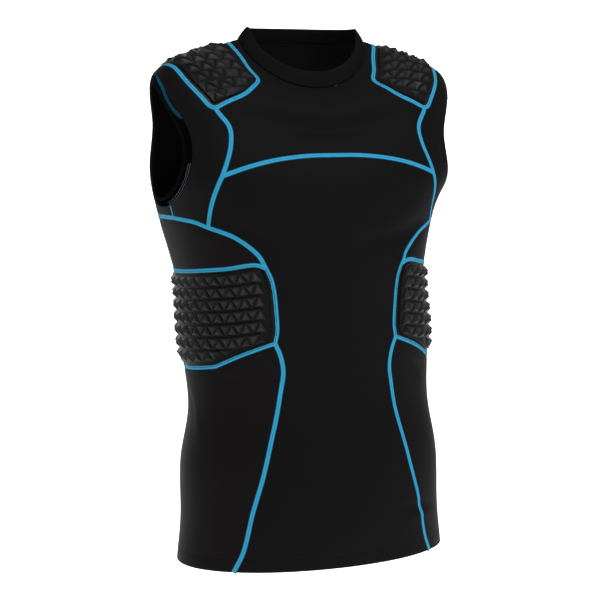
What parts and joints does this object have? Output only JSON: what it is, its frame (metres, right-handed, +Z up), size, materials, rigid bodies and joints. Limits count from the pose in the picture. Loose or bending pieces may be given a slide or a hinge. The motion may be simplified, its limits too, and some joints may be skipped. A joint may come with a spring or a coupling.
{
  "type": "padded sleeveless compression shirt",
  "caption": "Black padded sleeveless compression shirt in its worn, hollow form, with moulded pyramid pads on the ribs and shoulders, blue flatlock seams and a rib-knit collar.",
  "frame": {"origin": "midway between the two points where the neck seam crosses the tops of the shoulders, where the shoulders carry the shirt", "axes": "+Z up along the wearer's height, -Y out of the chest, +X towards the wearer's left side"},
  "size_m": [0.379, 0.237, 0.6502],
  "materials": {
    "body_cloth": "matte, smooth stretch knit",
    "side_cloth": "soft sheen, stretch knit",
    "collar_rib": "matte rib knit",
    "pad_foam": "satin moulded foam"
  },
  "bodies": {
    "root": {"front_body": "body_cloth", "front_yoke": "body_cloth", "back_body": "body_cloth", "collar": "collar_rib", "armhole_panel_right": "body_cloth", "side_upper_right": "side_cloth", "side_lower_right": "side_cloth", "rib_pad_right": "pad_foam", "shoulder_pad_right": "pad_foam", "armhole_panel_left": "body_cloth", "side_upper_left": "side_cloth", "side_lower_left": "side_cloth", "rib_pad_left": "pad_foam", "shoulder_pad_left": "pad_foam"}
  },
  "joints": []
}
